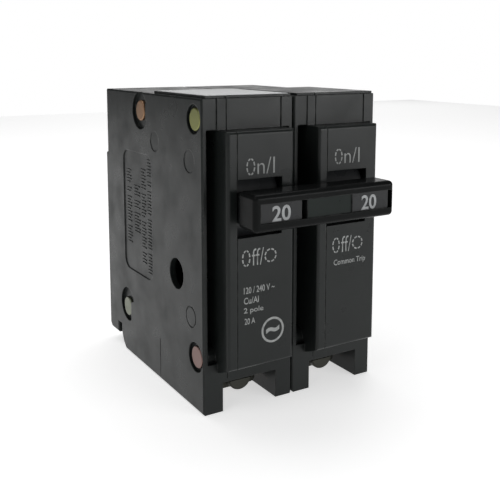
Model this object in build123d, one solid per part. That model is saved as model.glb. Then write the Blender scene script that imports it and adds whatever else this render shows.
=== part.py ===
from build123d import *

import math
import os

# Two-pole plug-in circuit breaker: two one-inch poles riveted side by side, each a moulded base
# and cover around its own switch mechanism, with one tie bar over both handles.
# Millimetres. X runs across the poles, -Y is the front that the user faces, +Z is the line end.
# Sizes are given in the casing's own frame: a pole starts at x = 0, its front shoulder is y = 0,
# and its legs stand on z = 0. Every finished piece is moved so that the origin lies in the middle
# of the whole breaker's bottom.

# ---- overall sizes -------------------------------------------------------------------------
POLE_WIDTH = 25.25
POLE_GAP = 0.3
CASE_DEPTH = 62.0
CASE_HEIGHT = 76.3
SIDE_WALL = 1.6
END_WALL = 1.7
SEAM_X = 6.6
SEAM_GROOVE = 0.16
SEAM_GROOVE_DEPTH = 0.35
RIM_CHAMFER = 0.35

# ---- front platform, channels and handle slot ----------------------------------------------
PLATFORM_REACH = 5.1
PLATFORM_LEFT = 3.9
PLATFORM_RIGHT = 22.3
PLATFORM_TOP = 68.9
PLATFORM_BOTTOM = 12.2
PLATFORM_ROOT = 10.0
PLATFORM_WALL = 1.8
PLATFORM_FILLET = 0.8
CHANNEL_WALL = 1.2
CHANNEL_DEPTH = 8.8
CHANNEL_FLOOR = 12.4
INNER_WALL = 1.4
SLOT_WIDTH = 12.2
SLOT_BOTTOM = 43.9
SLOT_TOP = 57.7

# ---- back: rail hook foot and line step ----------------------------------------------------
FOOT_LENGTH = 6.8
FOOT_LIFT = 3.3
HOOK_SLOT = 2.4
HOOK_SLOT_TOP = 6.6
LINE_STEP = 1.2
LINE_STEP_Z = 57.5

# ---- legs and wire terminal ----------------------------------------------------------------
NOTCH_LEFT = 5.3
NOTCH_RIGHT = 20.5
NOTCH_TOP = 7.3
POCKET_TOP = 12.3
POCKET_DEPTH = 18.2
POCKET_WALL = 1.4
SCREW_Z = 5.2
SCREW_HEAD_R = 3.3
SCREW_HEAD_T = 3.0
SCREW_R = 2.35
SCREW_FRONT = 4.6
SCREW_SLOT = 1.0
SCREW_TIP = 0.8
CLAMP_T = 1.4
WIRE_SPACE = 4.6
STRAP_T = 1.3
STRAP_WIDTH = 6.0
TAB_WIDTH = 12.0
STRAP_Z = 10.9

# ---- top pads and label --------------------------------------------------------------------
PAD_HEIGHT = 0.6
PAD_LENGTH = 28.8
PAD_INSET = 1.2
LABEL_T = 0.1
LABEL_MARGIN = 0.5

# ---- rivets --------------------------------------------------------------------------------
RIVET_R = 1.5
RIVET_CLEARANCE = 0.05
RIVET_HEAD_R = 2.75
RIVET_HEAD_T = 0.7
RIVET_SEAT_DEPTH = 0.9
RIVET_BOSS_R = 2.9
RIVET_FRONT_Y = 3.9
RIVET_TOP_Z = 71.4
RIVET_BOTTOM_Z = 13.5
RIVET_BACK_TOP_Y = 36.2
RIVET_BACK_BOTTOM_Y = 47.9

# ---- handle and tie bar --------------------------------------------------------------------
HANDLE_Y = 7.5
HANDLE_Z = 50.8
HANDLE_SIDE_CLEARANCE = 0.35
HANDLE_DRUM_R = 12.1
HANDLE_HUB_R = 3.4
HANDLE_AXLE_R = 1.5
HANDLE_AXLE_SEAT = 0.9
RUNNING_CLEARANCE = 0.06
STUB_ROOT_HALF = 3.3
STUB_ROOT_TOP = 3.5
STUB_TIP_HALF = 2.75
STUB_RISE = 0.6
TIE_REACH = 9.6
TIE_DEPTH = 7.6
TIE_HEIGHT = 8.65
TIE_END = 1.6
TIE_FACE = 0.5
TIE_FILLET = 1.1
TIE_PANEL_DEPTH = 0.25
TIE_PANEL_MARGIN = 0.2
TIE_WINDOW_HEIGHT = 4.4
TIE_WINDOW_GAP = 1.15
HANDLE_TRAVEL = 14.0

# ---- contact mechanism (y, z in the side view) ---------------------------------------------
MECH_X = 12.8
ARM_Y = 17.5
ARM_Z = 46.0
ARM_T = 3.0
ARM_REACH_Y = 18.6
ARM_REACH_Z = 12.4
PIN_R = 1.2
CONTACT_R = 2.3
CONTACT_T = 1.2
CONTACT_MARGIN_DEG = 0.4
CRADLE_Y = 24.0
CRADLE_Z = 31.0
CRADLE_T = 1.4
CRADLE_REACH = 12.2
CRADLE_X = 16.2
SPRING_X = 19.3
SPRING_R = 1.3
SPRING_WIRE_R = 0.28
SPRING_TURNS = 8
SPRING_PIN_R = 0.7
SPRING_Y = 26.4
TRIP_Y = 14.2
TRIP_Z = 31.9
TRIP_BAR_R = 2.4
TRIP_PORT_R = 3.95
ARC_PLATE_COUNT = 6
ARC_PLATE_T = 1.2
ARC_PLATE_PITCH = 2.3
ARC_FIRST_Z = 44.5
ARC_FRONT = 34.0
ARC_BACK = 51.0
ARC_NOTCH_BACK = 44.6
ARC_NOTCH_WIDTH = 8.0
ARC_WIDTH = 17.6
ARC_SHEET = 0.8
LINE_STRAP_Z = 62.0
BIMETAL_Y = 41.65
BIMETAL_T = 1.1
BIMETAL_WIDTH = 5.4
BIMETAL_TOP = 37.6
YOKE_T = 1.2
YOKE_BOTTOM = 22.0
YOKE_TOP = 30.0
YOKE_WIDTH = 9.2
ARMATURE_Y = 37.2
ARMATURE_Z = 20.6
ARMATURE_T = 1.2
ARMATURE_TOP = 33.0
ARMATURE_PIN_R = 0.8
BRAID_R = 1.25
JAW_TOP = 72.6
JAW_BOTTOM = 61.35
JAW_T = 1.0
JAW_BACK_Y = 49.4
JAW_MOUTH_WIDTH = 4.8
CALIBRATION_Z = 17.4
CALIBRATION_R = 1.2

# ---- values worked out from the sizes above ------------------------------------------------
POLE_PITCH = POLE_WIDTH + POLE_GAP
POLE_OFFSETS = {"left": 0.0, "right": POLE_PITCH}
TOTAL_WIDTH = POLE_PITCH + POLE_WIDTH
TIE_FRONT = -PLATFORM_REACH - TIE_REACH
ORIGIN_X = TOTAL_WIDTH / 2
ORIGIN_Y = (TIE_FRONT + CASE_DEPTH) / 2
INNER_RIGHT = POLE_WIDTH - SIDE_WALL
FRONT_CAVITY_LEFT = PLATFORM_LEFT + INNER_WALL
FRONT_CAVITY_RIGHT = PLATFORM_RIGHT - INNER_WALL
MAIN_CAVITY_Y = CHANNEL_DEPTH + INNER_WALL
BACK_INNER_Y = CASE_DEPTH - LINE_STEP - SIDE_WALL
HANDLE_LEFT = SEAM_X + HANDLE_SIDE_CLEARANCE
HANDLE_RIGHT = SEAM_X + SLOT_WIDTH - 0.2 - HANDLE_SIDE_CLEARANCE
STUB_Z = HANDLE_Z + STUB_RISE
CLAMP_Y = SCREW_FRONT + SCREW_HEAD_T
STRAP_Y = CLAMP_Y + CLAMP_T + WIRE_SPACE + STRAP_T / 2
TERMINAL_X = (NOTCH_LEFT + NOTCH_RIGHT) / 2
RIVETS = {
    "top_back": (RIVET_BACK_TOP_Y, RIVET_TOP_Z),
    "top_front": (RIVET_FRONT_Y, RIVET_TOP_Z),
    "bottom_back": (RIVET_BACK_BOTTOM_Y, RIVET_BOTTOM_Z),
    "bottom_front": (RIVET_FRONT_Y, RIVET_BOTTOM_Z),
}


# ---- small builders ------------------------------------------------------------------------
def block(x0, x1, y0, y1, z0, z1):
    centre = Pos((x0 + x1) / 2, (y0 + y1) / 2, (z0 + z1) / 2)
    return centre * Box(x1 - x0, y1 - y0, z1 - z0)


def rod(x0, x1, y, z, radius):
    """A round rod along X."""
    return Pos((x0 + x1) / 2, y, z) * Rot(0, 90, 0) * Cylinder(radius, x1 - x0)


def plate(points, x0, x1):
    """A plate whose outline is given in the side view as (y, z) points."""
    outline = make_face(Polyline([(x0, y, z) for y, z in points], close=True))
    return extrude(outline, x1 - x0, dir=(1, 0, 0))


def strip_outline(points, thickness):
    """Both sides of a bent strip whose middle line is given."""
    near, far = [], []
    for index, (u, v) in enumerate(points):
        before = points[max(index - 1, 0)]
        after = points[min(index + 1, len(points) - 1)]
        into = (u - before[0], v - before[1]) if index else (after[0] - u, after[1] - v)
        out = (after[0] - u, after[1] - v) if index < len(points) - 1 else into
        n1 = (-into[1] / math.hypot(*into), into[0] / math.hypot(*into))
        n2 = (-out[1] / math.hypot(*out), out[0] / math.hypot(*out))
        middle = (n1[0] + n2[0], n1[1] + n2[1])
        scale = thickness / (middle[0] ** 2 + middle[1] ** 2)
        near.append((u + middle[0] * scale, v + middle[1] * scale))
        far.append((u - middle[0] * scale, v - middle[1] * scale))
    return near + far[::-1]


def side_strip(points, thickness, x0, x1):
    """A bent metal strip that is seen edge-on in the side view."""
    return plate(strip_outline(points, thickness), x0, x1)


def top_strip(points, thickness, z0, z1):
    """A bent metal strip that is seen edge-on from the line end, with (x, y) points."""
    outline = make_face(Polyline([(x, y, z0) for x, y in strip_outline(points, thickness)], close=True))
    return extrude(outline, z1 - z0, dir=(0, 0, 1))


def turned(piece, y, z, degrees):
    """The piece turned about an axis along X; positive turns +Y towards +Z."""
    return Pos(0, y, z) * Rot(degrees, 0, 0) * Pos(0, -y, -z) * piece


# ---- casing --------------------------------------------------------------------------------
def case_profile():
    """Side view of a pole without its platform."""
    foot_front = CASE_DEPTH - FOOT_LENGTH
    hook_front = foot_front - HOOK_SLOT
    return [
        (0, 0),
        (hook_front - 3.2, 0),
        (hook_front - 1.2, 1.8),
        (hook_front, HOOK_SLOT_TOP - 2.2),
        (hook_front, HOOK_SLOT_TOP),
        (foot_front, HOOK_SLOT_TOP),
        (foot_front, FOOT_LIFT),
        (CASE_DEPTH - 1.2, FOOT_LIFT),
        (CASE_DEPTH, FOOT_LIFT + 1.3),
        (CASE_DEPTH, LINE_STEP_Z),
        (CASE_DEPTH - LINE_STEP, LINE_STEP_Z),
        (CASE_DEPTH - LINE_STEP, CASE_HEIGHT),
        (0, CASE_HEIGHT),
    ]


def platform_profile():
    """Side view of the raised front platform with its slanted underside."""
    return [
        (PLATFORM_WALL, PLATFORM_ROOT),
        (0, PLATFORM_ROOT),
        (-PLATFORM_REACH, PLATFORM_BOTTOM),
        (-PLATFORM_REACH, PLATFORM_TOP),
        (PLATFORM_WALL, PLATFORM_TOP),
    ]


def top_pad():
    """The slightly raised pad on the line end, where a label can go."""
    return block(PAD_INSET, POLE_WIDTH - 0.4, 0.6, PAD_LENGTH, CASE_HEIGHT - 1, CASE_HEIGHT + PAD_HEIGHT)


def pole_outside():
    body = plate(case_profile(), 0, POLE_WIDTH)
    rims = body.faces().sort_by(Axis.X)[0].edges() + body.faces().sort_by(Axis.X)[-1].edges()
    body = chamfer(rims, RIM_CHAMFER)
    channel_top = PLATFORM_TOP + 0.1
    body -= block(CHANNEL_WALL, PLATFORM_LEFT, -1, CHANNEL_DEPTH, CHANNEL_FLOOR, channel_top)
    right_end = POLE_WIDTH - CHANNEL_WALL
    body -= block(PLATFORM_RIGHT, right_end, -1, CHANNEL_DEPTH, CHANNEL_FLOOR, channel_top)
    platform = plate(platform_profile(), PLATFORM_LEFT, PLATFORM_RIGHT)
    front_edges = platform.faces().sort_by(Axis.Y)[0].edges()
    platform = fillet(front_edges, PLATFORM_FILLET)
    return body + platform + top_pad()


def cavities():
    """The hollows shared by cover and base."""
    front = block(
        FRONT_CAVITY_LEFT, FRONT_CAVITY_RIGHT, PLATFORM_WALL - PLATFORM_REACH, MAIN_CAVITY_Y + 0.1,
        RIVET_BOTTOM_Z + RIVET_BOSS_R + 0.8, PLATFORM_TOP - PLATFORM_WALL,
    )
    main = block(
        SIDE_WALL, INNER_RIGHT, MAIN_CAVITY_Y, BACK_INNER_Y,
        POCKET_TOP + POCKET_WALL, CASE_HEIGHT - END_WALL,
    )
    floor_back = CASE_DEPTH - FOOT_LENGTH - HOOK_SLOT - 3.2 - SIDE_WALL
    lower = block(
        SIDE_WALL, INNER_RIGHT, POCKET_DEPTH + POCKET_WALL, floor_back,
        END_WALL, POCKET_TOP + POCKET_WALL + 0.1,
    )
    return front + main + lower


def terminal_pocket():
    """The notch between the legs, the wire pocket above it and the way out for the strap."""
    notch = block(NOTCH_LEFT, NOTCH_RIGHT, -1, POCKET_DEPTH, -1, NOTCH_TOP)
    head_half = SCREW_HEAD_R + 0.5
    head_room = block(
        TERMINAL_X - head_half, TERMINAL_X + head_half, SCREW_FRONT - 0.5, CLAMP_Y,
        NOTCH_TOP - 0.1, SCREW_Z + SCREW_HEAD_R + 0.4,
    )
    pocket = block(NOTCH_LEFT, NOTCH_RIGHT, CLAMP_Y - 0.6, POCKET_DEPTH, NOTCH_TOP - 0.1, POCKET_TOP)
    half = STRAP_WIDTH / 2 + 0.3
    passage = block(
        TERMINAL_X - half, TERMINAL_X + half, POCKET_DEPTH - 0.1, POCKET_DEPTH + POCKET_WALL + 0.1,
        STRAP_Z - STRAP_T / 2 - 0.3, POCKET_TOP,
    )
    return notch + head_room + pocket + passage


def jaw_mouth():
    """The slot in the back through which the panel's stab reaches the jaw."""
    half = JAW_MOUTH_WIDTH / 2
    return block(
        MECH_X - half, MECH_X + half, BACK_INNER_Y - 0.1, CASE_DEPTH + 1,
        JAW_BOTTOM - 0.6, JAW_TOP + 0.6,
    )


def pin_seat(y, z, radius, x0, x1, bore_x0, bore_x1):
    """A boss with a blind bore for the end of a pin."""
    return rod(x0, x1, y, z, radius + 1.2) - rod(bore_x0, bore_x1, y, z, radius)


def seam_groove():
    """The fine line that shows where cover and base meet."""
    inner = block(
        SEAM_X - 2, SEAM_X + 2, SEAM_GROOVE_DEPTH, CASE_DEPTH - LINE_STEP - SEAM_GROOVE_DEPTH,
        -1, CASE_HEIGHT - SEAM_GROOVE_DEPTH,
    )
    inner += block(
        SEAM_X - 2, SEAM_X + 2, SEAM_GROOVE_DEPTH - PLATFORM_REACH, 1,
        PLATFORM_BOTTOM, PLATFORM_TOP - SEAM_GROOVE_DEPTH,
    )
    slab = block(
        SEAM_X - SEAM_GROOVE, SEAM_X + 1, -PLATFORM_REACH - 1, CASE_DEPTH + 1,
        NOTCH_TOP + 1, CASE_HEIGHT + 2,
    )
    return slab - inner


def brow_grooves():
    """Two fine upright lines in the front of the line end."""
    grooves = Part()
    for x in (PLATFORM_LEFT, PLATFORM_RIGHT - 0.6):
        grooves += block(x - 0.15, x + 0.15, -1, 0.35, PLATFORM_TOP + 0.1, CASE_HEIGHT + 1)
    return grooves


def cover_side_marks():
    """Moulded details of the cover's outer face: seats, blocks, rings and a text recess."""
    recess = block(-1, 0.25, 29.0, 48.6, 25.6, 59.8)
    recess = fillet(recess.edges().filter_by(Axis.X), 3.0)
    marks = recess
    marks += rod(-1, RIVET_SEAT_DEPTH, RIVET_BACK_TOP_Y - 0.3, RIVET_TOP_Z, 5.0)
    marks += rod(-1, RIVET_SEAT_DEPTH, RIVET_FRONT_Y + 0.2, RIVET_TOP_Z, 3.5)
    marks += rod(-1, RIVET_SEAT_DEPTH, RIVET_BACK_BOTTOM_Y - 0.6, RIVET_BOTTOM_Z + 0.9, 4.9)
    marks += rod(-1, RIVET_SEAT_DEPTH, RIVET_FRONT_Y + 0.1, RIVET_BOTTOM_Z, 3.7)
    marks += rod(-1, 0.2, 6.3, 23.0, 2.7) - rod(-1, 1, 6.3, 23.0, 2.35)
    marks += rod(-1, 0.12, 26.6, 64.0, 2.6)
    marks += rod(-1, 0.12, 6.6, 61.2, 2.8)
    marks += block(-1, 0.2, 24.6, 24.9, -1, 11.4)
    return marks


def cover_side_blocks():
    """Blocks that bridge half of the two rear rivet seats."""
    upper = block(0, RIVET_SEAT_DEPTH + 0.1, 20.6, 32.2, 69.1, 73.6)
    wedge = plate([(45.0, 8.6), (45.0, 15.4), (37.0, 18.4), (32.6, 17.4), (32.6, 11.6)], 0, 1.0)
    return upper + wedge


def rivet_bores(seat_radius, seat_x0, seat_x1):
    bores = Part()
    for y, z in RIVETS.values():
        bores += rod(-1, POLE_WIDTH + 1, y, z, RIVET_R + RIVET_CLEARANCE)
        bores += rod(seat_x0, seat_x1, y, z, seat_radius)
    return bores


def rivet_bosses(x0, x1):
    bosses = Part()
    for y, z in RIVETS.values():
        bosses += rod(x0, x1, y, z, RIVET_BOSS_R)
    return bosses


def handle_axle_seats():
    """Blind bores for the handle's axle in both inner walls beside the front channels."""
    radius = HANDLE_AXLE_R + RUNNING_CLEARANCE
    depth = HANDLE_AXLE_SEAT + 0.1
    left = rod(FRONT_CAVITY_LEFT - depth, FRONT_CAVITY_LEFT + 0.5, HANDLE_Y, HANDLE_Z, radius)
    right = rod(FRONT_CAVITY_RIGHT - 0.5, FRONT_CAVITY_RIGHT + depth, HANDLE_Y, HANDLE_Z, radius)
    return left + right


def cover_supports():
    """Bosses and ribs inside the cover."""
    seats = pin_seat(ARM_Y, ARM_Z, PIN_R, SIDE_WALL - 0.2, 4.4, 2.0, 5)
    seats += pin_seat(CRADLE_Y, CRADLE_Z, PIN_R, SIDE_WALL - 0.2, 4.4, 2.0, 5)
    rib = block(SIDE_WALL - 0.2, 6.2, ARMATURE_Y - 1.8, ARMATURE_Y + 1.6, ARMATURE_Z - 1.8, ARMATURE_Z + 1.8)
    rib -= rod(5.0, 7, ARMATURE_Y, ARMATURE_Z, ARMATURE_PIN_R + RUNNING_CLEARANCE)
    arc_rib = block(
        SIDE_WALL - 0.2, MECH_X - ARC_WIDTH / 2 - ARC_SHEET, 40.0, 43.0,
        ARC_FIRST_Z - 0.4, ARC_FIRST_Z + 12.4,
    )
    return seats + rib + arc_rib


def base_supports():
    """Bosses, ribs and posts that rise from the base's side wall."""
    wall = INNER_RIGHT + 0.2
    seats = pin_seat(ARM_Y, ARM_Z, PIN_R, 21.0, wall, 20.0, wall - 0.5)
    seats += pin_seat(CRADLE_Y, CRADLE_Z, PIN_R, 21.0, wall, 20.0, wall - 0.5)
    rib = block(19.4, wall, ARMATURE_Y - 1.8, ARMATURE_Y + 1.6, ARMATURE_Z - 1.8, ARMATURE_Z + 1.8)
    rib -= rod(19.0, 20.7, ARMATURE_Y, ARMATURE_Z, ARMATURE_PIN_R + RUNNING_CLEARANCE)
    arc_rib = block(
        MECH_X + ARC_WIDTH / 2 + ARC_SHEET, wall, 40.0, 43.0, ARC_FIRST_Z - 0.4, ARC_FIRST_Z + 12.4,
    )
    line_post = block(9.8, wall, 45.8, 47.4, ARC_FIRST_Z + 13.4, LINE_STRAP_Z - STRAP_T / 2)
    load_post = block(9.8, wall, 24.0, 26.0, END_WALL - 0.2, STRAP_Z - STRAP_T / 2)
    return seats + rib + arc_rib + line_post + load_post


def trip_port():
    """The round port in both side walls where the common trip bar passes."""
    return rod(-1, SIDE_WALL + 0.2, TRIP_Y, TRIP_Z, TRIP_PORT_R) + rod(
        INNER_RIGHT - 0.2, POLE_WIDTH + 1, TRIP_Y, TRIP_Z, TRIP_PORT_R)


def case_cover():
    shell = pole_outside() & block(-1, SEAM_X, -20, CASE_DEPTH + 5, -1, CASE_HEIGHT + 5)
    shell -= cavities()
    shell -= terminal_pocket()
    shell += rivet_bosses(CHANNEL_WALL / 2, SEAM_X)
    shell += cover_supports()
    shell -= cover_side_marks()
    shell += cover_side_blocks()
    shell -= rivet_bores(RIVET_HEAD_R + 0.15, -1, RIVET_SEAT_DEPTH)
    shell -= handle_axle_seats()
    shell -= trip_port()
    shell -= seam_groove()
    shell -= brow_grooves()
    return shell


def case_base():
    shell = pole_outside() & block(SEAM_X, POLE_WIDTH + 1, -20, CASE_DEPTH + 5, -1, CASE_HEIGHT + 5)
    shell -= cavities()
    shell -= terminal_pocket()
    shell += rivet_bosses(SEAM_X, POLE_WIDTH - CHANNEL_WALL / 2)
    shell += base_supports()
    slot = block(
        SEAM_X - 1, SEAM_X + SLOT_WIDTH, -PLATFORM_REACH - 1, PLATFORM_WALL - PLATFORM_REACH + 0.1,
        SLOT_BOTTOM, SLOT_TOP,
    )
    shell -= slot
    shell -= jaw_mouth()
    shell -= rivet_bores(RIVET_HEAD_R + 0.15, POLE_WIDTH - RIVET_SEAT_DEPTH, POLE_WIDTH + 1)
    shell -= handle_axle_seats()
    shell -= trip_port()
    shell -= brow_grooves()
    shell -= Pos(TERMINAL_X, 0, CALIBRATION_Z) * Rot(-90, 0, 0) * Pos(0, 0, CASE_DEPTH / 2 + 20) * Cylinder(
        CALIBRATION_R, CASE_DEPTH)
    return shell


def rivets():
    """Four rivets through both poles, with flat round heads in their seats."""
    group = []
    for y, z in RIVETS.values():
        shank = rod(RIVET_SEAT_DEPTH, TOTAL_WIDTH - RIVET_SEAT_DEPTH, y, z, RIVET_R)
        left = rod(RIVET_SEAT_DEPTH - RIVET_HEAD_T, RIVET_SEAT_DEPTH, y, z, RIVET_HEAD_R)
        left = fillet(left.edges().sort_by(Axis.X)[0], 0.3)
        right_x = TOTAL_WIDTH - RIVET_SEAT_DEPTH
        right = rod(right_x, right_x + RIVET_HEAD_T, y, z, RIVET_HEAD_R)
        right = fillet(right.edges().sort_by(Axis.X)[-1], 0.3)
        group.append(shank + left + right)
    return group


def top_label():
    """A thin label on the left pole's pad."""
    z0 = CASE_HEIGHT + PAD_HEIGHT
    return block(
        PAD_INSET + LABEL_MARGIN, POLE_WIDTH - 0.4 - LABEL_MARGIN, 0.6 + LABEL_MARGIN,
        PAD_LENGTH - LABEL_MARGIN, z0, z0 + LABEL_T,
    )


# ---- handles -------------------------------------------------------------------------------
def handle():
    """A drum that fills the slot, the stub that the finger moves, and the axle."""
    reach = HANDLE_Y + PLATFORM_REACH
    drum = rod(HANDLE_LEFT, HANDLE_RIGHT, HANDLE_Y, HANDLE_Z, HANDLE_DRUM_R)
    wedge = plate(
        [
            (HANDLE_Y + 2.5, HANDLE_Z - 2.5),
            (-PLATFORM_REACH - 1, HANDLE_Z - reach * 1.25),
            (-PLATFORM_REACH - 1, HANDLE_Z + reach * 1.25),
            (HANDLE_Y + 2.5, HANDLE_Z + 2.5),
        ],
        HANDLE_LEFT - 1, HANDLE_RIGHT + 1,
    )
    stub = plate(
        [
            (0, HANDLE_Z - STUB_ROOT_HALF),
            (-PLATFORM_REACH, HANDLE_Z - STUB_ROOT_HALF),
            (TIE_FRONT + TIE_FACE, STUB_Z - STUB_TIP_HALF),
            (TIE_FRONT + TIE_FACE, STUB_Z + STUB_TIP_HALF),
            (-PLATFORM_REACH, HANDLE_Z + STUB_ROOT_TOP),
            (0, HANDLE_Z + STUB_ROOT_HALF),
        ],
        HANDLE_LEFT, HANDLE_RIGHT,
    )
    axle = rod(
        FRONT_CAVITY_LEFT - HANDLE_AXLE_SEAT, FRONT_CAVITY_RIGHT + HANDLE_AXLE_SEAT,
        HANDLE_Y, HANDLE_Z, HANDLE_AXLE_R,
    )
    hub = rod(HANDLE_LEFT, HANDLE_RIGHT, HANDLE_Y, HANDLE_Z, HANDLE_HUB_R)
    return (drum & wedge) + hub + stub + axle


def stub_space(offset):
    """The pocket in the tie bar that fits one handle's stub, open at the back."""
    tip = TIE_FRONT + TIE_FACE
    back = TIE_FRONT + TIE_DEPTH + 1
    slope_down = (STUB_Z - STUB_TIP_HALF - HANDLE_Z + STUB_ROOT_HALF) / (tip + PLATFORM_REACH)
    slope_up = (STUB_Z + STUB_TIP_HALF - HANDLE_Z - STUB_ROOT_TOP) / (tip + PLATFORM_REACH)
    run = back - tip
    return plate(
        [
            (tip, STUB_Z - STUB_TIP_HALF),
            (tip, STUB_Z + STUB_TIP_HALF),
            (back, STUB_Z + STUB_TIP_HALF + slope_up * run),
            (back, STUB_Z - STUB_TIP_HALF + slope_down * run),
        ],
        offset + HANDLE_LEFT, offset + HANDLE_RIGHT + TIE_WINDOW_GAP,
    )


def handle_tie():
    """The bar over both handles, with a window in front of each handle's face."""
    left = HANDLE_LEFT - TIE_END
    right = POLE_PITCH + HANDLE_RIGHT + TIE_END
    bar = block(
        left, right, TIE_FRONT, TIE_FRONT + TIE_DEPTH,
        STUB_Z - TIE_HEIGHT / 2, STUB_Z + TIE_HEIGHT / 2,
    )
    bar = fillet(bar.edges(), TIE_FILLET)
    for offset in POLE_OFFSETS.values():
        bar -= stub_space(offset)
        bar -= block(
            offset + HANDLE_LEFT, offset + HANDLE_RIGHT + TIE_WINDOW_GAP, TIE_FRONT - 1,
            TIE_FRONT + TIE_FACE + 0.1, STUB_Z - TIE_WINDOW_HEIGHT / 2, STUB_Z + TIE_WINDOW_HEIGHT / 2,
        )
    panel = block(
        HANDLE_RIGHT + TIE_WINDOW_GAP + TIE_PANEL_MARGIN, POLE_PITCH + HANDLE_LEFT - TIE_PANEL_MARGIN,
        TIE_FRONT - 1, TIE_FRONT + TIE_PANEL_DEPTH,
        STUB_Z - TIE_WINDOW_HEIGHT / 2, STUB_Z + TIE_WINDOW_HEIGHT / 2,
    )
    return bar - panel


# ---- contacts ------------------------------------------------------------------------------
def arm_at_rest(piece):
    """Turns a piece of the closed contact arm back to the half-open rest position."""
    return turned(piece, ARM_Y, ARM_Z, -HANDLE_TRAVEL - CONTACT_MARGIN_DEG)


def contact_arm():
    """The moving arm, drawn closed and then turned open about its pivot."""
    tip_y = ARM_Y + ARM_REACH_Y
    tip_z = ARM_Z + ARM_REACH_Z
    outline = [
        (ARM_Y - 2.6, ARM_Z - 2.4),
        (ARM_Y + 2.8, ARM_Z - 1.8),
        (tip_y - 4.0, tip_z - 3.0),
        (tip_y + 3.0, tip_z - 3.0),
        (tip_y + 3.0, tip_z),
        (tip_y - 4.5, tip_z),
        (ARM_Y - 1.0, ARM_Z + 3.0),
        (ARM_Y - 2.6, ARM_Z + 2.0),
    ]
    x0 = MECH_X - ARM_T / 2
    arm = plate(outline, x0, x0 + ARM_T)
    arm -= rod(x0 - 1, x0 + ARM_T + 1, ARM_Y, ARM_Z, PIN_R + RUNNING_CLEARANCE)
    arm = arm_at_rest(arm)
    return arm + rod(x0 + ARM_T - 0.3, SPRING_X + SPRING_R, SPRING_Y, spring_top_z(), SPRING_PIN_R)


def spring_top_z():
    """Height of the arm's spring pin, on the middle line of the arm at rest."""
    angle = math.atan2(ARM_REACH_Z - 1.5, ARM_REACH_Y) - math.radians(HANDLE_TRAVEL + CONTACT_MARGIN_DEG)
    return ARM_Z + (SPRING_Y - ARM_Y) * math.tan(angle)


def moving_contact():
    tip_y = ARM_Y + ARM_REACH_Y
    tip_z = ARM_Z + ARM_REACH_Z
    return arm_at_rest(Pos(MECH_X, tip_y, tip_z + CONTACT_T / 2) * Cylinder(CONTACT_R, CONTACT_T))


def fixed_contact():
    top = LINE_STRAP_Z - STRAP_T / 2
    bottom = ARM_Z + ARM_REACH_Z + CONTACT_T
    return Pos(MECH_X, ARM_Y + ARM_REACH_Y, (top + bottom) / 2) * Cylinder(CONTACT_R, top - bottom)


def arm_pin():
    return rod(2.0, INNER_RIGHT - 0.3, ARM_Y, ARM_Z, PIN_R)


def line_strap():
    """The strip from the fixed contact back to the jaw."""
    half = STRAP_WIDTH / 2
    front = ARM_Y + ARM_REACH_Y - CONTACT_R - 0.8
    return block(
        MECH_X - half, MECH_X + half, front, JAW_BACK_Y,
        LINE_STRAP_Z - STRAP_T / 2, LINE_STRAP_Z + STRAP_T / 2,
    )


def line_jaw():
    """The spring clip that grips the panel's stab: a web and two leaves that pinch and flare."""
    jaw = block(MECH_X - 4.0, MECH_X + 4.0, JAW_BACK_Y, JAW_BACK_Y + JAW_T, JAW_BOTTOM, JAW_TOP)
    for side in (-1, 1):
        leaf = [
            (MECH_X + side * 3.5, JAW_BACK_Y + JAW_T / 2),
            (MECH_X + side * 3.5, JAW_BACK_Y + 3.0),
            (MECH_X + side * 1.3, JAW_BACK_Y + 7.4),
            (MECH_X + side * 2.3, BACK_INNER_Y - 0.5),
        ]
        jaw += top_strip(leaf, JAW_T, JAW_BOTTOM, JAW_TOP)
    return jaw


def jaw_spring():
    """The steel clip that squeezes the jaw's leaves together."""
    spring_t = 0.7
    reach = 3.5 + JAW_T / 2 + spring_t / 2 + 0.05
    web_y = JAW_BACK_Y - spring_t
    spring = block(
        MECH_X - reach - spring_t / 2, MECH_X + reach + spring_t / 2, web_y, JAW_BACK_Y,
        JAW_BOTTOM + 2.8, JAW_TOP - 2.4,
    )
    for side in (-1, 1):
        arm = [
            (MECH_X + side * reach, web_y + 0.1),
            (MECH_X + side * reach, JAW_BACK_Y + 3.2),
            (MECH_X + side * (reach - 1.55), JAW_BACK_Y + 6.3),
        ]
        spring += top_strip(arm, spring_t, JAW_BOTTOM + 2.8, JAW_TOP - 2.4)
    return spring


def arc_plates():
    """A stack of steel plates, each notched around the moving contact's path."""
    group = []
    for index in range(ARC_PLATE_COUNT):
        z0 = ARC_FIRST_Z + index * ARC_PLATE_PITCH
        side = ARC_WIDTH / 2
        sheet = block(MECH_X - side, MECH_X + side, ARC_FRONT, ARC_BACK, z0, z0 + ARC_PLATE_T)
        half = ARC_NOTCH_WIDTH / 2
        sheet -= block(MECH_X - half, MECH_X + half, ARC_FRONT - 1, ARC_NOTCH_BACK, z0 - 1, z0 + 2)
        group.append(sheet)
    return group


def arc_plate_holder():
    """Fibre sheet folded round the sides and back of the arc plates."""
    outer = MECH_X - ARC_WIDTH / 2 - ARC_SHEET
    z0 = ARC_FIRST_Z - 0.8
    z1 = ARC_FIRST_Z + 12.9
    holder = block(outer, outer + ARC_SHEET, ARC_FRONT + 2, ARC_BACK + ARC_SHEET, z0, z1)
    holder += block(
        outer + ARC_SHEET + ARC_WIDTH, outer + 2 * ARC_SHEET + ARC_WIDTH,
        ARC_FRONT + 2, ARC_BACK + ARC_SHEET, z0, z1,
    )
    holder += block(outer, outer + 2 * ARC_SHEET + ARC_WIDTH, ARC_BACK, ARC_BACK + ARC_SHEET, z0, z1)
    return holder


# ---- latch and trip ------------------------------------------------------------------------
def cradle_pin():
    return rod(2.0, INNER_RIGHT - 0.3, CRADLE_Y, CRADLE_Z, PIN_R)


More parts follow.
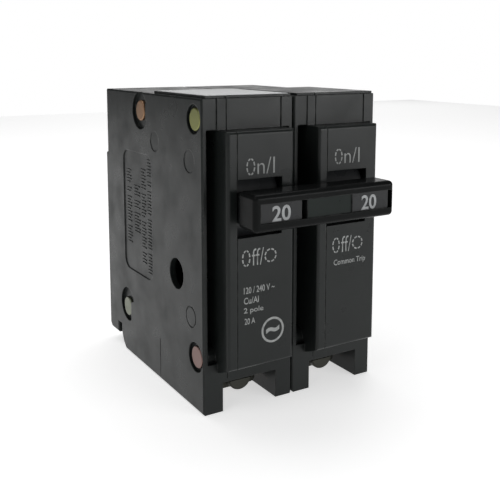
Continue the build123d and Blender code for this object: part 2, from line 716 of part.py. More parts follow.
def cradle():
    """The latched lever, in its tripped position, with its nose towards the armature."""
    nose = math.radians(-12)
    nose_y = CRADLE_Y + CRADLE_REACH * math.cos(nose)
    nose_z = CRADLE_Z + CRADLE_REACH * math.sin(nose)
    outline = [
        (CRADLE_Y - 2.6, CRADLE_Z - 2.2),
        (CRADLE_Y + 2.0, CRADLE_Z - 2.6),
        (nose_y, nose_z - 0.8),
        (nose_y, nose_z + 0.8),
        (CRADLE_Y + 4.6, CRADLE_Z + 1.8),
        (SPRING_Y + 1.4, spring_bottom_z() + 1.2),
        (SPRING_Y - 1.6, spring_bottom_z() + 1.2),
        (CRADLE_Y - 2.6, CRADLE_Z + 2.4),
    ]
    lever = plate(outline, CRADLE_X, CRADLE_X + CRADLE_T)
    lever -= rod(CRADLE_X - 1, CRADLE_X + CRADLE_T + 1, CRADLE_Y, CRADLE_Z, PIN_R + RUNNING_CLEARANCE)
    pin = rod(CRADLE_X + CRADLE_T - 0.3, SPRING_X + SPRING_R, SPRING_Y, spring_bottom_z(), SPRING_PIN_R)
    return lever + pin


def spring_bottom_z():
    """Height of the cradle's spring pin."""
    return CRADLE_Z + 8.5


def toggle_spring():
    """The coil spring stretched between the cradle's pin and the arm's pin."""
    low = spring_bottom_z() + SPRING_PIN_R + SPRING_WIRE_R + 0.05
    high = spring_top_z() - SPRING_PIN_R - SPRING_WIRE_R - 0.05
    pitch = (high - low) / SPRING_TURNS
    path = Helix(pitch, high - low, SPRING_R)
    profile = Plane(origin=path @ 0, z_dir=path % 0) * Circle(SPRING_WIRE_R)
    return Pos(SPRING_X, SPRING_Y, low) * sweep(profile, path, is_frenet=True)


def trip_bar():
    """The bar that carries one pole's trip to the other, with a lug for each cradle."""
    bar = rod(8.0, POLE_PITCH + 17.0, TRIP_Y, TRIP_Z, TRIP_BAR_R)
    for offset in POLE_OFFSETS.values():
        lug = plate(
            [
                (TRIP_Y, TRIP_Z - 1.6),
                (TRIP_Y + 6.2, TRIP_Z - 0.6),
                (TRIP_Y + 6.2, TRIP_Z + 0.6),
                (TRIP_Y, TRIP_Z + 1.6),
            ],
            offset + 9.5, offset + 15.5,
        )
        bar += lug
    return bar


def bimetal():
    half = BIMETAL_WIDTH / 2
    return block(MECH_X - half, MECH_X + half, BIMETAL_Y, BIMETAL_Y + BIMETAL_T, STRAP_Z + 3.0, BIMETAL_TOP)


def magnet_yoke():
    """A U-shaped steel yoke behind and beside the bimetal."""
    half = YOKE_WIDTH / 2
    back = BIMETAL_Y + BIMETAL_T
    yoke = block(MECH_X - half, MECH_X + half, back, back + YOKE_T, YOKE_BOTTOM, YOKE_TOP)
    for side in (-1, 1):
        inner = MECH_X + side * (half - YOKE_T)
        outer = MECH_X + side * half
        yoke += block(
            min(inner, outer), max(inner, outer), ARMATURE_Y + ARMATURE_T / 2 + 1.4, back + YOKE_T,
            YOKE_BOTTOM, YOKE_TOP,
        )
    return yoke


def armature():
    """The plate that the yoke pulls, with its own pivot pin at the bottom."""
    half = YOKE_WIDTH / 2
    leaf = block(
        MECH_X - half, MECH_X + half, ARMATURE_Y - ARMATURE_T / 2, ARMATURE_Y + ARMATURE_T / 2,
        ARMATURE_Z, ARMATURE_TOP,
    )
    return leaf + rod(5.2, 20.5, ARMATURE_Y, ARMATURE_Z, ARMATURE_PIN_R)


def calibration_screw():
    """Sets the bimetal's position from the back; sealed after adjustment."""
    start = BIMETAL_Y + BIMETAL_T
    length = CASE_DEPTH - 0.6 - start
    axis = Pos(TERMINAL_X, start + length / 2, CALIBRATION_Z) * Rot(-90, 0, 0)
    screw = axis * Cylinder(CALIBRATION_R, length)
    slot = block(
        TERMINAL_X - CALIBRATION_R, TERMINAL_X + CALIBRATION_R, CASE_DEPTH - 1.2, CASE_DEPTH,
        CALIBRATION_Z - 0.2, CALIBRATION_Z + 0.2,
    )
    return screw - slot


def braid():
    """The flexible copper lead from the bimetal's top to the side of the contact arm."""
    x = MECH_X - ARM_T / 2 - BRAID_R
    top = BIMETAL_TOP - BRAID_R - 0.1
    points = [
        (x, BIMETAL_Y, top),
        (x, 35.4, top),
        (x, 29.6, top + 1.4),
        (x, 25.2, top + 5.6),
        (x, 23.0, ARM_Z + 1.8),
    ]
    path = FilletPolyline(*points, radius=3.6)
    profile = Plane(origin=path @ 0, z_dir=path % 0) * Circle(BRAID_R)
    return sweep(profile, path)


# ---- load terminal -------------------------------------------------------------------------
def load_strap():
    """The strip from the terminal's tab back to the foot of the bimetal."""
    half = STRAP_WIDTH / 2
    turn_y = BIMETAL_Y - STRAP_T / 2
    path = [
        (STRAP_Y, NOTCH_TOP),
        (STRAP_Y, STRAP_Z),
        (turn_y - 2.6, STRAP_Z),
        (turn_y, STRAP_Z + 2.6),
        (turn_y, STRAP_Z + 9.0),
    ]
    strap = side_strip(path, STRAP_T, TERMINAL_X - half, TERMINAL_X + half)
    tab = block(
        TERMINAL_X - TAB_WIDTH / 2, TERMINAL_X + TAB_WIDTH / 2,
        STRAP_Y - STRAP_T / 2, STRAP_Y + STRAP_T / 2, SCREW_Z - 3.2, SCREW_Z + 4.5,
    )
    hole = terminal_axis(STRAP_Y) * Cylinder(SCREW_R + RUNNING_CLEARANCE, STRAP_T + 2)
    return strap + tab - hole


def terminal_axis(y):
    """A place on the terminal screw's axis, with the local Z along +Y."""
    return Pos(TERMINAL_X, y, SCREW_Z) * Rot(-90, 0, 0)


def wire_clamp():
    """The pressure plate that the screw drives towards the strap."""
    clamp = block(
        TERMINAL_X - TAB_WIDTH / 2, TERMINAL_X + TAB_WIDTH / 2, CLAMP_Y, CLAMP_Y + CLAMP_T,
        SCREW_Z - 3.3, SCREW_Z + 4.1,
    )
    clamp = fillet(clamp.edges().filter_by(Axis.Y), 1.4)
    hole = terminal_axis(CLAMP_Y) * Cylinder(SCREW_R + RUNNING_CLEARANCE, 6)
    return clamp - hole


def terminal_screw():
    """Slotted screw whose head bears on the clamp."""
    tip = STRAP_Y + STRAP_T / 2 + SCREW_TIP
    head = terminal_axis(SCREW_FRONT + SCREW_HEAD_T / 2) * Cylinder(SCREW_HEAD_R, SCREW_HEAD_T)
    head = fillet(head.edges().sort_by(Axis.Y)[0], 0.5)
    shank = terminal_axis((CLAMP_Y + tip) / 2) * Cylinder(SCREW_R, tip - CLAMP_Y)
    slot = block(
        TERMINAL_X - SCREW_HEAD_R - 1, TERMINAL_X + SCREW_HEAD_R + 1, SCREW_FRONT - 1, SCREW_FRONT + 1.3,
        SCREW_Z - SCREW_SLOT / 2, SCREW_Z + SCREW_SLOT / 2,
    )
    return head + shank - slot


# ---- all pieces ----------------------------------------------------------------------------
POLE_PIECES = {
    "case_base": case_base,
    "case_cover": case_cover,
    "handle": handle,
    "contact_arm": contact_arm,
    "moving_contact": moving_contact,
    "fixed_contact": fixed_contact,
    "arm_pin": arm_pin,
    "line_strap": line_strap,
    "line_jaw": line_jaw,
    "jaw_spring": jaw_spring,
    "arc_plates": arc_plates,
    "arc_plate_holder": arc_plate_holder,
    "cradle": cradle,
    "cradle_pin": cradle_pin,
    "toggle_spring": toggle_spring,
    "bimetal": bimetal,
    "magnet_yoke": magnet_yoke,
    "armature": armature,
    "calibration_screw": calibration_screw,
    "braid": braid,
    "load_strap": load_strap,
    "wire_clamp": wire_clamp,
    "terminal_screw": terminal_screw,
}
SHARED_PIECES = {
    "rivets": rivets,
    "top_label": top_label,
    "handle_tie": handle_tie,
    "trip_bar": trip_bar,
}


def write_piece(node, made, offset):
    """Moves a piece, or each solid of a group, into the breaker's frame and writes it."""
    place = Pos(offset - ORIGIN_X, -ORIGIN_Y, 0)
    if isinstance(made, list):
        moved = Compound(children=[place * solid for solid in made])
    else:
        moved = place * made
    export_step(moved, os.path.join("parts", node + ".step"))


os.makedirs("parts", exist_ok=True)
for name, build in POLE_PIECES.items():
    piece = build()
    for pole, pole_offset in POLE_OFFSETS.items():
        write_piece(name + "_" + pole, piece, pole_offset)
for name, build in SHARED_PIECES.items():
    write_piece(name, build(), 0.0)
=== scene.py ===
import math

import bmesh
import bpy
from mathutils import Matrix, Vector


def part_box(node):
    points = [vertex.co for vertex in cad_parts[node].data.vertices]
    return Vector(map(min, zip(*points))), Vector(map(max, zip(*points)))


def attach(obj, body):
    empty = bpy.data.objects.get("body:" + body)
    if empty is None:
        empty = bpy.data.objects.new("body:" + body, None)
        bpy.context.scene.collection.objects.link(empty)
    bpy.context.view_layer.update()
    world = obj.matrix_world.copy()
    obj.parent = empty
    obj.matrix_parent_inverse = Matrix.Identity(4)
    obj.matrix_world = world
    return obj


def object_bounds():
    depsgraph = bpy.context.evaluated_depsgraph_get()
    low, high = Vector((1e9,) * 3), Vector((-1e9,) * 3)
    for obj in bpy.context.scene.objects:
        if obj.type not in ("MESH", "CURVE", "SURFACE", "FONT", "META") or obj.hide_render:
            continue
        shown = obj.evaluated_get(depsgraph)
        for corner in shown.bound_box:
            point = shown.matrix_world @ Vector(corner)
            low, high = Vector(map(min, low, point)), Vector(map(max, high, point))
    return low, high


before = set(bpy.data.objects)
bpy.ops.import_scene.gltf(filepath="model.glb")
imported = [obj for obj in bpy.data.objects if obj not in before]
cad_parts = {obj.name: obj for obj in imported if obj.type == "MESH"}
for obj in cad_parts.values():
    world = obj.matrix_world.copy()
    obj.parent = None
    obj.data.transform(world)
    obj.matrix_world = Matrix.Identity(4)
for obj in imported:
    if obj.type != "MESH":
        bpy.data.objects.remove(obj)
cad_low, cad_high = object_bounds()
MM = 0.001
POLES = ("left", "right")

# ---- moulded cases -------------------------------------------------------------------------
# Each pole is a base and a cover moulded in black glass-filled polyester. The mould leaves the
# sides fine and matt and the front almost glossy, with edges rubbed a little lighter.
# The poles stand side by side on their legs.
CASE_COLOUR = (0.0105, 0.0125, 0.012)
RUBBED_COLOUR = (0.085, 0.089, 0.086)
case_left = {pole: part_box("case_cover_" + pole)[0].x for pole in POLES}
platform_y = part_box("case_cover_left")[0].y
side_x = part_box("case_cover_left")[0].x


def moulding(name, colour, rubbed, roughness, edge_radius, grain=0.04, swirl=0.10, coat=0.0):
    """A moulded plastic: flow marks in the colour, fine mould grain, soft rubbed edges."""
    material = bpy.data.materials.new(name)
    material.use_nodes = True
    nodes = material.node_tree.nodes
    links = material.node_tree.links
    shader = nodes["Principled BSDF"]
    shader.inputs["Specular IOR Level"].default_value = 0.22
    shader.inputs["Coat Weight"].default_value = coat
    shader.inputs["Coat Roughness"].default_value = 0.12
    place = nodes.new("ShaderNodeTexCoord")

    def noise(scale, detail):
        texture = nodes.new("ShaderNodeTexNoise")
        texture.inputs["Scale"].default_value = scale
        texture.inputs["Detail"].default_value = detail
        links.new(place.outputs["Object"], texture.inputs["Vector"])
        return texture.outputs["Fac"]

    def ranged(value, low, high, to_low, to_high):
        ramp = nodes.new("ShaderNodeMapRange")
        ramp.inputs["From Min"].default_value = low
        ramp.inputs["From Max"].default_value = high
        ramp.inputs["To Min"].default_value = to_low
        ramp.inputs["To Max"].default_value = to_high
        links.new(value, ramp.inputs["Value"])
        return ramp.outputs["Result"]

    rounded = nodes.new("ShaderNodeBevel")
    rounded.samples = 6
    rounded.inputs["Radius"].default_value = edge_radius
    flat = nodes.new("ShaderNodeNewGeometry")
    agree = nodes.new("ShaderNodeVectorMath")
    agree.operation = "DOT_PRODUCT"
    links.new(rounded.outputs["Normal"], agree.inputs[0])
    links.new(flat.outputs["True Normal"], agree.inputs[1])
    edge = ranged(agree.outputs["Value"], 0.995, 0.80, 0.0, 1.0)
    scuffed = nodes.new("ShaderNodeMath")
    scuffed.operation = "MULTIPLY"
    links.new(edge, scuffed.inputs[0])
    links.new(ranged(noise(420.0, 4.0), 0.42, 0.66, 0.0, 0.75), scuffed.inputs[1])

    flow = nodes.new("ShaderNodeMix")
    flow.data_type = "RGBA"
    flow.inputs["A"].default_value = (*[c * 0.82 for c in colour], 1)
    flow.inputs["B"].default_value = (*[c * 1.22 for c in colour], 1)
    links.new(noise(75.0, 5.0), flow.inputs["Factor"])
    worn = nodes.new("ShaderNodeMix")
    worn.data_type = "RGBA"
    worn.inputs["B"].default_value = (*rubbed, 1)
    links.new(scuffed.outputs["Value"], worn.inputs["Factor"])
    links.new(flow.outputs["Result"], worn.inputs["A"])
    links.new(worn.outputs["Result"], shader.inputs["Base Color"])

    patchy = ranged(noise(130.0, 6.0), 0.3, 0.7, roughness - swirl, roughness + swirl)
    links.new(patchy, shader.inputs["Roughness"])
    sink = nodes.new("ShaderNodeBump")
    sink.inputs["Strength"].default_value = 0.25
    sink.inputs["Distance"].default_value = 0.00025
    links.new(noise(85.0, 1.0), sink.inputs["Height"])
    links.new(rounded.outputs["Normal"], sink.inputs["Normal"])
    fine = nodes.new("ShaderNodeBump")
    fine.inputs["Strength"].default_value = grain
    fine.inputs["Distance"].default_value = 0.0001
    links.new(noise(5200.0, 3.0), fine.inputs["Height"])
    links.new(sink.outputs["Normal"], fine.inputs["Normal"])
    links.new(fine.outputs["Normal"], shader.inputs["Normal"])
    return material


case_black = moulding("case_black", CASE_COLOUR, RUBBED_COLOUR, 0.34, 0.00028, grain=0.10)
for pole in POLES:
    for shell in ("case_base_", "case_cover_"):
        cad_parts[shell + pole].data.materials.clear()
        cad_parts[shell + pole].data.materials.append(case_black)

# ---- raised notes on the side --------------------------------------------------------------
# Four lines of small upright strokes stand up from the recessed panel in the left side, where a
# maker moulds its notes. They are plain strokes in the case's own plastic and spell nothing.
NOTE_RISE = 0.00022
NOTE_FLOOR = 0.30 * MM
NOTE_STROKE = 0.30 * MM
NOTE_PITCH = 0.86 * MM
# Each line: its front and back edge, its top, then the number of strokes in each group.
NOTES = (
    (29.2, 32.2, 58.6, (6, 2, 8, 10, 7)),
    (33.7, 36.2, 55.6, (7, 8, 9, 4)),
    (37.6, 41.4, 50.4, (4, 3, 7)),
    (43.6, 46.4, 54.4, (5, 2, 9, 6)),
)


def words_mesh(words, bold=0.0):
    """Flat letters as a mesh that fills a box from 0 to 1 in x and y."""
    curve = bpy.data.curves.new("words", "FONT")
    curve.body = words
    curve.size = 1.0
    curve.offset = bold
    curve.resolution_u = 4
    holder = bpy.data.objects.new("words", curve)
    bpy.context.scene.collection.objects.link(holder)
    bpy.context.view_layer.update()
    mesh = bpy.data.meshes.new_from_object(holder)
    bpy.data.objects.remove(holder)
    low = Vector([min(v.co[i] for v in mesh.vertices) for i in range(3)])
    high = Vector([max(v.co[i] for v in mesh.vertices) for i in range(3)])
    size = high - low
    mesh.transform(Matrix.Translation((-low.x, -low.y, -(low.z + high.z) / 2)))
    mesh.transform(Matrix.Diagonal((1 / size.x, 1 / size.y, 1.0, 1.0)))
    return mesh


def new_piece(name, mesh, body, finish):
    """Adds a finished mesh as a piece that moves with a body."""
    mesh.materials.clear()
    mesh.materials.append(finish)
    piece = bpy.data.objects.new(name, mesh)
    bpy.context.scene.collection.objects.link(piece)
    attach(piece, body)
    return piece


notes = bmesh.new()
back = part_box("case_base_left")[1].y
for y_front, y_back, z_top, groups in NOTES:
    front_y = back - (62.0 - y_front) * MM
    back_y = back - (62.0 - y_back) * MM
    top = z_top * MM
    for count in groups:
        for index in range(count):
            # Every third stroke is short, so a line reads as uneven marks.
            start = front_y + (0.35 * (back_y - front_y) if index % 3 == 1 else 0.0)
            size = Vector((NOTE_RISE * 2, back_y - start, NOTE_STROKE))
            middle = Vector((side_x + NOTE_FLOOR, (start + back_y) / 2, top - NOTE_STROKE / 2))
            place = Matrix.Translation(middle) @ Matrix.Diagonal((*size, 1.0))
            bmesh.ops.create_cube(notes, size=1.0, matrix=place)
            top -= NOTE_PITCH
        top -= NOTE_PITCH
notes_mesh = bpy.data.meshes.new("side_notes")
bmesh.ops.recalc_face_normals(notes, faces=notes.faces)
notes.to_mesh(notes_mesh)
notes.free()
new_piece("side_notes", notes_mesh, "case", case_black)

# ---- printing on the platforms -------------------------------------------------------------
# Pale grey ink stamped on the two front platforms: the stencilled ON and OFF marks above and below
# each handle, the rating lines on the left pole and the note about the common trip on the right.
INK_PROUD = 0.00003
INK_COLOUR = (0.33, 0.34, 0.335)


def stamped_ink(name, colour):
    """Matt ink, thin in places."""
    material = bpy.data.materials.new(name)
    material.use_nodes = True
    nodes = material.node_tree.nodes
    links = material.node_tree.links
    shader = nodes["Principled BSDF"]
    shader.inputs["Specular IOR Level"].default_value = 0.3
    place = nodes.new("ShaderNodeTexCoord")
    patches = nodes.new("ShaderNodeTexNoise")
    patches.inputs["Scale"].default_value = 900.0
    patches.inputs["Detail"].default_value = 4.0
    links.new(place.outputs["Object"], patches.inputs["Vector"])
    worn = nodes.new("ShaderNodeMix")
    worn.data_type = "RGBA"
    worn.inputs["A"].default_value = (*[c * 0.45 for c in colour], 1)
    worn.inputs["B"].default_value = (*[c * 1.25 for c in colour], 1)
    links.new(patches.outputs["Fac"], worn.inputs["Factor"])
    links.new(worn.outputs["Result"], shader.inputs["Base Color"])
    shader.inputs["Roughness"].default_value = 0.6
    return material


ink = stamped_ink("pale_ink", INK_COLOUR)


def on_front(mesh, left, low, right, high, y):
    """Scales a unit mesh to a box on a front face, in metres, and stands it up facing -Y."""
    mesh.transform(Matrix.Diagonal((right - left, high - low, 1.0, 1.0)))
    mesh.transform(Matrix.Rotation(math.radians(90), 4, "X"))
    mesh.transform(Matrix.Translation((left, y, low)))


def print_words(name, words, pole, left, low, right, high, bold=0.0):
    """Stamps words on a platform; sizes are in mm from the pole's left side and the legs."""
    mesh = words_mesh(words, bold)
    mesh.transform(Matrix.Diagonal((1.0, 1.0, 0.0, 1.0)))
    x0 = case_left[pole]
    y = platform_y - INK_PROUD
    on_front(mesh, x0 + left * MM, low * MM, x0 + right * MM, high * MM, y)
    return new_piece(name, mesh, "case", ink)


def dashed_ring(name, pole, left, low, right, high, dashes, line, share=0.70):
    """The stencilled letter O: an oval of short strokes with gaps between them."""
    ring = bmesh.new()
    half = Vector(((right - left) / 2, (high - low) / 2)) * MM
    for index in range(dashes):
        middle = math.tau * (index + 0.5) / dashes
        steps = 48 // dashes
        stroke = bmesh.ops.create_grid(ring, x_segments=steps, y_segments=1, size=0.5)["verts"]
        for vertex in stroke:
            angle = middle + vertex.co.x * math.tau / dashes * share
            inset = (0.5 - vertex.co.y) * line * MM
            vertex.co = Vector((
                math.cos(angle) * (half.x - inset), 0.0, math.sin(angle) * (half.y - inset)
            ))
    mesh = bpy.data.meshes.new(name)
    ring.to_mesh(mesh)
    ring.free()
    centre_x = case_left[pole] + (left + right) / 2 * MM
    mesh.transform(Matrix.Translation((centre_x, platform_y - INK_PROUD, (low + high) / 2 * MM)))
    return new_piece(name, mesh, "case", ink)


dashed_ring("on_mark_left_o", "left", 8.9, 58.6, 11.3, 62.6, 8, 0.36)
print_words("on_mark_left", "n/I", "left", 11.9, 58.7, 16.7, 62.6, bold=-0.008)
dashed_ring("on_mark_right_o", "right", 8.8, 59.3, 11.2, 63.2, 8, 0.36)
print_words("on_mark_right", "n/I", "right", 11.8, 59.4, 16.6, 63.2, bold=-0.008)
dashed_ring("off_mark_left_o", "left", 7.7, 37.0, 10.0, 41.0, 8, 0.36)
print_words("off_mark_left", "ff/", "left", 10.4, 37.0, 13.7, 41.1, bold=-0.008)
dashed_ring("off_mark_left_zero", "left", 13.9, 37.2, 17.3, 40.6, 8, 0.36)
dashed_ring("off_mark_right_o", "right", 8.45, 36.7, 10.75, 40.7, 8, 0.36)
print_words("off_mark_right", "ff/", "right", 11.2, 36.7, 14.5, 40.8, bold=-0.008)
dashed_ring("off_mark_right_zero", "right", 14.7, 36.9, 18.1, 40.3, 8, 0.36)
print_words("common_trip", "Common Trip", "right", 8.95, 33.1, 19.05, 35.0, bold=0.01)
print_words("rating_volts", "120 / 240 V ~", "left", 8.2, 30.4, 16.8, 32.0, bold=0.01)
print_words("rating_wire", "Cu/Al", "left", 8.2, 27.9, 12.3, 29.5, bold=0.01)
print_words("rating_poles", "2 pole", "left", 8.2, 25.3, 13.6, 27.0, bold=0.01)
print_words("rating_amps", "20 A", "left", 8.4, 22.9, 11.3, 24.4, bold=0.01)

# A plain ring with the wave for alternating current fills the space below the lines.
dashed_ring("round_mark", "left", 13.1, 17.1, 19.5, 23.5, 1, 0.55, share=1.0)
print_words("round_mark_wave", "~", "left", 14.4, 19.5, 18.2, 21.2, bold=0.06)

# ---- label on the top ----------------------------------------------------------------------
# A glossy white paper label lies on the left pole's top pad, with printed grey bars.
LABEL_WHITE = (0.80, 0.815, 0.82)
LABEL_GREY = (0.34, 0.36, 0.375)
label = bpy.data.materials.new("label_paper")
label.use_nodes = True
nodes = label.node_tree.nodes
links = label.node_tree.links
shader = nodes["Principled BSDF"]
shader.inputs["Coat Weight"].default_value = 0.5
shader.inputs["Coat Roughness"].default_value = 0.10
place = nodes.new("ShaderNodeTexCoord")
split = nodes.new("ShaderNodeSeparateXYZ")
links.new(place.outputs["Object"], split.inputs["Vector"])
bars = nodes.new("ShaderNodeMath")
bars.operation = "PINGPONG"
bars.inputs[1].default_value = 1.9 * MM
links.new(split.outputs["Y"], bars.inputs[0])
printed = nodes.new("ShaderNodeMath")
printed.operation = "GREATER_THAN"
printed.inputs[1].default_value = 1.25 * MM
links.new(bars.outputs["Value"], printed.inputs[0])
fibres = nodes.new("ShaderNodeTexNoise")
fibres.inputs["Scale"].default_value = 1500.0
fibres.inputs["Detail"].default_value = 5.0
links.new(place.outputs["Object"], fibres.inputs["Vector"])
faded = nodes.new("ShaderNodeMath")
faded.operation = "MULTIPLY"
links.new(printed.outputs["Value"], faded.inputs[0])
links.new(fibres.outputs["Fac"], faded.inputs[1])
paper = nodes.new("ShaderNodeMix")
paper.data_type = "RGBA"
paper.inputs["A"].default_value = (*LABEL_WHITE, 1)
paper.inputs["B"].default_value = (*LABEL_GREY, 1)
links.new(faded.outputs["Value"], paper.inputs["Factor"])
links.new(paper.outputs["Result"], shader.inputs["Base Color"])
gloss = nodes.new("ShaderNodeMapRange")
gloss.inputs["To Min"].default_value = 0.22
gloss.inputs["To Max"].default_value = 0.42
links.new(fibres.outputs["Fac"], gloss.inputs["Value"])
links.new(gloss.outputs["Result"], shader.inputs["Roughness"])
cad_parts["top_label"].data.materials.clear()
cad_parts["top_label"].data.materials.append(label)

# ---- handles -------------------------------------------------------------------------------
# Each handle is one moulding: drum, stub and axle. The drum fills the slot in the platform and
# the stub's face carries the rating number in white.
HANDLE_COLOUR = (0.016, 0.017, 0.018)
NUMBER_COLOUR = (0.36, 0.37, 0.375)
handle_black = moulding("handle_black", HANDLE_COLOUR, (0.07, 0.07, 0.072), 0.30, 0.00022)
number_ink = stamped_ink("number_ink", NUMBER_COLOUR)
for pole, left, wide in (("left", 10.2, 5.0), ("right", 10.0, 4.6)):
    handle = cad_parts["handle_" + pole]
    handle.data.materials.clear()
    handle.data.materials.append(handle_black)
    number = words_mesh("20", bold=0.02)
    number.transform(Matrix.Diagonal((1.0, 1.0, 0.0, 1.0)))
    face_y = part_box("handle_" + pole)[0].y - INK_PROUD
    x0 = case_left[pole] + left * MM
    on_front(number, x0, 49.3 * MM, x0 + wide * MM, 52.9 * MM, face_y)
    new_piece("number_" + pole, number, "handles", number_ink)

# ---- tie bar -------------------------------------------------------------------------------
# The bar is moulded in a glossier black, pressed over both stubs, with a window in front of each
# number and a satin greenish field between the windows.
TIE_COLOUR = (0.0075, 0.008, 0.008)
tie_black = moulding("tie_black", TIE_COLOUR, (0.06, 0.062, 0.06), 0.20, 0.0004, swirl=0.06)
TIE_FIELD_COLOUR = (0.010, 0.014, 0.0125)
tie_field = moulding("tie_field", TIE_FIELD_COLOUR, (0.05, 0.055, 0.052), 0.34, 0.0001)
TIE_SHINE = 0.05
TIE_FIELD_SHINE = 0.11
for finish, shine in ((tie_black, TIE_SHINE), (tie_field, TIE_FIELD_SHINE)):
    finish.node_tree.nodes["Principled BSDF"].inputs["Specular IOR Level"].default_value = shine
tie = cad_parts["handle_tie"]
tie.data.materials.clear()
tie.data.materials.append(tie_black)
tie.data.materials.append(tie_field)
tie_low, tie_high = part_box("handle_tie")
# The field is the floor of the shallow recess between the windows.
for face in tie.data.polygons:
    in_recess = 0.1 * MM < face.center.y - tie_low.y < 0.5 * MM
    between = abs(face.center.x - (tie_low.x + tie_high.x) / 2) < 8.0 * MM
    if in_recess and between and face.normal.y < -0.9:
        face.material_index = 1

# ---- rivets --------------------------------------------------------------------------------
# Four steel rivets run through both poles. Their heads are plated, and each has dulled to a tone
# of its own: copper, olive brass, pale cream and pink copper.
RIVET_TONES = {
    "copper": (0.33, 0.20, 0.12),
    "olive": (0.27, 0.28, 0.105),
    "cream": (0.19, 0.20, 0.155),
    "pink": (0.22, 0.145, 0.13),
}


def struck_metal(name, colour, roughness, edge_radius=0.0001, streak=(1.0, 1.0, 1.0), mark=0.15):
    """A worked metal: faint stains, fine drawn or rolled marks, rounded edges."""
    material = bpy.data.materials.new(name)
    material.use_nodes = True
    nodes = material.node_tree.nodes
    links = material.node_tree.links
    shader = nodes["Principled BSDF"]
    shader.inputs["Metallic"].default_value = 1.0
    place = nodes.new("ShaderNodeTexCoord")
    drawn = nodes.new("ShaderNodeMapping")
    drawn.inputs["Scale"].default_value = streak
    links.new(place.outputs["Object"], drawn.inputs["Vector"])
    stains = nodes.new("ShaderNodeTexNoise")
    stains.inputs["Scale"].default_value = 260.0
    stains.inputs["Detail"].default_value = 6.0
    links.new(place.outputs["Object"], stains.inputs["Vector"])
    marks = nodes.new("ShaderNodeTexNoise")
    marks.inputs["Scale"].default_value = 2200.0
    marks.inputs["Detail"].default_value = 4.0
    links.new(drawn.outputs["Vector"], marks.inputs["Vector"])
    tone = nodes.new("ShaderNodeMix")
    tone.data_type = "RGBA"
    tone.inputs["A"].default_value = (*[c * 0.62 for c in colour], 1)
    tone.inputs["B"].default_value = (*[min(1.0, c * 1.25) for c in colour], 1)
    links.new(stains.outputs["Fac"], tone.inputs["Factor"])
    links.new(tone.outputs["Result"], shader.inputs["Base Color"])
    dull = nodes.new("ShaderNodeMapRange")
    dull.inputs["From Min"].default_value = 0.3
    dull.inputs["From Max"].default_value = 0.7
    dull.inputs["To Min"].default_value = max(0.05, roughness - 0.12)
    dull.inputs["To Max"].default_value = roughness + 0.12
    links.new(stains.outputs["Fac"], dull.inputs["Value"])
    links.new(dull.outputs["Result"], shader.inputs["Roughness"])
    rounded = nodes.new("ShaderNodeBevel")
    rounded.samples = 4
    rounded.inputs["Radius"].default_value = edge_radius
    scored = nodes.new("ShaderNodeBump")
    scored.inputs["Strength"].default_value = mark
    scored.inputs["Distance"].default_value = 0.00005
    links.new(marks.outputs["Fac"], scored.inputs["Height"])
    links.new(rounded.outputs["Normal"], scored.inputs["Normal"])
    links.new(scored.outputs["Normal"], shader.inputs["Normal"])
    return material


rivet_low, rivet_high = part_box("rivets")
rivet_metals = {
    tone: struck_metal("rivet_" + tone, colour, 0.42, 0.0002)
    for tone, colour in RIVET_TONES.items()
}
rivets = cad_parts["rivets"]
rivets.data.materials.clear()
for tone in RIVET_TONES:
    rivets.data.materials.append(rivet_metals[tone])
rivet_middle = (rivet_low + rivet_high) / 2
for face in rivets.data.polygons:
    centre = face.center
    at_top = centre.z > rivet_middle.z
    at_back = centre.y > rivet_middle.y
    tone = ("copper" if at_back else "olive") if at_top else ("cream" if at_back else "pink")
    face.material_index = list(RIVET_TONES).index(tone)

# ---- current path --------------------------------------------------------------------------
# Jaws, straps, arms and braids are copper, stamped from strip; the contacts are silver alloy
# brazed on. The terminal screw and its clamp are steel; their near-black colour is painted shade
# for the dark pocket they sit in.
bare_copper = struck_metal("bare_copper", (0.62, 0.30, 0.17), 0.34, streak=(1.0, 1.0, 0.12))
silver_alloy = struck_metal("silver_alloy", (0.74, 0.73, 0.70), 0.30)
plated_steel = struck_metal("plated_steel", (0.50, 0.50, 0.49), 0.32, streak=(1.0, 0.15, 1.0))
# Painted shade: the screw and clamp steel is coloured near black so the pocket under the platform
# reads dark.
zinc_steel = struck_metal("zinc_steel", (0.05, 0.05, 0.043), 0.50, 0.00015)
spring_steel = struck_metal("spring_steel", (0.42, 0.43, 0.45), 0.25, 0.00005)
bimetal_strip = struck_metal("bimetal_strip", (0.52, 0.48, 0.42), 0.28, streak=(0.1, 1.0, 1.0))
screw_brass = struck_metal("screw_brass", (0.62, 0.45, 0.19), 0.28)
METALS = {
    "line_jaw": bare_copper,
    "line_strap": bare_copper,
    "load_strap": bare_copper,
    "contact_arm": bare_copper,
    "braid": bare_copper,
    "moving_contact": silver_alloy,
    "fixed_contact": silver_alloy,
    "arm_pin": plated_steel,
    "cradle_pin": plated_steel,
    "cradle": plated_steel,
    "arc_plates": plated_steel,
    "magnet_yoke": plated_steel,
    "armature": plated_steel,
    "jaw_spring": spring_steel,
    "toggle_spring": spring_steel,
    "bimetal": bimetal_strip,
    "calibration_screw": screw_brass,
    "terminal_screw": zinc_steel,
    "wire_clamp": zinc_steel,
}
for kind, metal in METALS.items():
    for pole in POLES:
        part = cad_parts[f"{kind}_{pole}"]
        part.data.materials.clear()
        part.data.materials.append(metal)

# ---- fibre and trip bar --------------------------------------------------------------------
# The arc plates sit in folded vulcanised fibre; the trip bar is a brown moulding that runs
# through both poles.
fibre = moulding("vulcanised_fibre", (0.20, 0.10, 0.05), (0.30, 0.18, 0.10), 0.62, 0.0001, 0.4)
brown = moulding("brown_moulding", (0.028, 0.018, 0.012), (0.08, 0.05, 0.03), 0.45, 0.0002)
for pole in POLES:
    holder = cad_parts["arc_plate_holder_" + pole]
    holder.data.materials.clear()
    holder.data.materials.append(fibre)
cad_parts["trip_bar"].data.materials.clear()
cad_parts["trip_bar"].data.materials.append(brown)

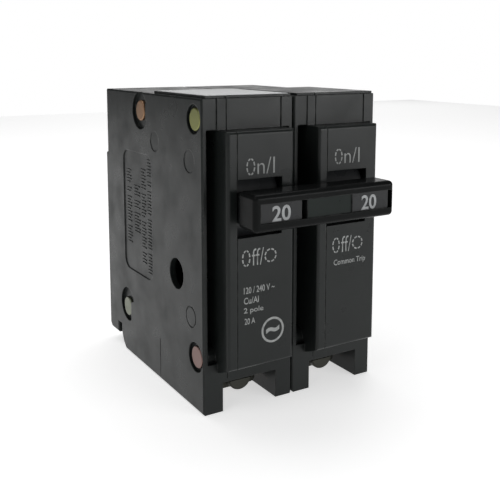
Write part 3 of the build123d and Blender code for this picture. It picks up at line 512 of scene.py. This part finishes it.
# ---- floor, light and camera ---------------------------------------------------------------
# A pale floor that glows a little under soft studio light, and a camera just above the top of
# the object, in front of it and to its left.
FLOOR_HALF = 0.9
FLOOR_GLOW = 0.58
floor_mesh = bpy.data.meshes.new("floor")
floor = bmesh.new()
bmesh.ops.create_grid(floor, x_segments=1, y_segments=1, size=FLOOR_HALF)
floor.to_mesh(floor_mesh)
floor.free()
floor_mesh.transform(Matrix.Translation((0, 0, cad_low.z - 0.00005)))
floor_object = bpy.data.objects.new("floor", floor_mesh)
bpy.context.scene.collection.objects.link(floor_object)
floor_paint = bpy.data.materials.new("floor_paint")
floor_paint.use_nodes = True
floor_shader = floor_paint.node_tree.nodes["Principled BSDF"]
floor_shader.inputs["Base Color"].default_value = (0.88, 0.88, 0.88, 1)
floor_shader.inputs["Roughness"].default_value = 0.9
floor_shader.inputs["Specular IOR Level"].default_value = 0.1
floor_shader.inputs["Emission Color"].default_value = (1.0, 1.0, 1.0, 1)
floor_shader.inputs["Emission Strength"].default_value = FLOOR_GLOW
floor_mesh.materials.append(floor_paint)

world = bpy.data.worlds.new("studio")
bpy.context.scene.world = world
world.use_nodes = True
# The backdrop is seen as plain white and lights the object less than it shows.
BACKDROP_SEEN = 1.0
BACKDROP_LIGHT = 0.07
sky = world.node_tree.nodes["Background"]
sky.inputs["Color"].default_value = (1.0, 1.0, 1.0, 1)
ray = world.node_tree.nodes.new("ShaderNodeLightPath")
strength = world.node_tree.nodes.new("ShaderNodeMapRange")
strength.inputs["To Min"].default_value = BACKDROP_LIGHT
strength.inputs["To Max"].default_value = BACKDROP_SEEN
world.node_tree.links.new(ray.outputs["Is Camera Ray"], strength.inputs["Value"])
world.node_tree.links.new(strength.outputs["Result"], sky.inputs["Strength"])


def soft_light(name, where, towards, width, height, power):
    """A rectangular soft box."""
    data = bpy.data.lights.new(name, "AREA")
    data.shape = "RECTANGLE"
    data.size = width
    data.size_y = height
    data.energy = power
    lamp = bpy.data.objects.new(name, data)
    bpy.context.scene.collection.objects.link(lamp)
    lamp.location = where
    lamp.rotation_euler = (Vector(towards) - Vector(where)).to_track_quat("-Z", "Y").to_euler()


soft_light("key", (-0.60, -0.10, 0.60), (0, 0, 0.04), 0.60, 0.60, 1.5)
soft_light("front_strip", (0.33, -0.56, 0.13), (0, 0, 0.06), 0.50, 0.14, 1.7)
soft_light("top", (0.10, 0.30, 0.90), (0, 0, 0.04), 0.90, 0.60, 3.8)
soft_light("back", (0.61, 1.02, 0.34), (0, 0, 0.06), 0.90, 0.40, 1.0)

CAMERA_PLACE = (-0.1045, -0.17685, 0.0865)
CAMERA_AIM = (0.51042, 0.84942, -0.13397)
camera_data = bpy.data.cameras.new("camera")
camera_data.lens = 54.5
camera_data.sensor_width = 36.0
camera_data.shift_y = -0.188
camera_data.clip_start = 0.01
camera_data.clip_end = 20.0
camera = bpy.data.objects.new("camera", camera_data)
camera.location = CAMERA_PLACE
camera.rotation_euler = Vector(CAMERA_AIM).to_track_quat("-Z", "Y").to_euler()
bpy.context.scene.collection.objects.link(camera)
bpy.context.scene.camera = camera
bpy.context.scene.view_settings.view_transform = "Standard"
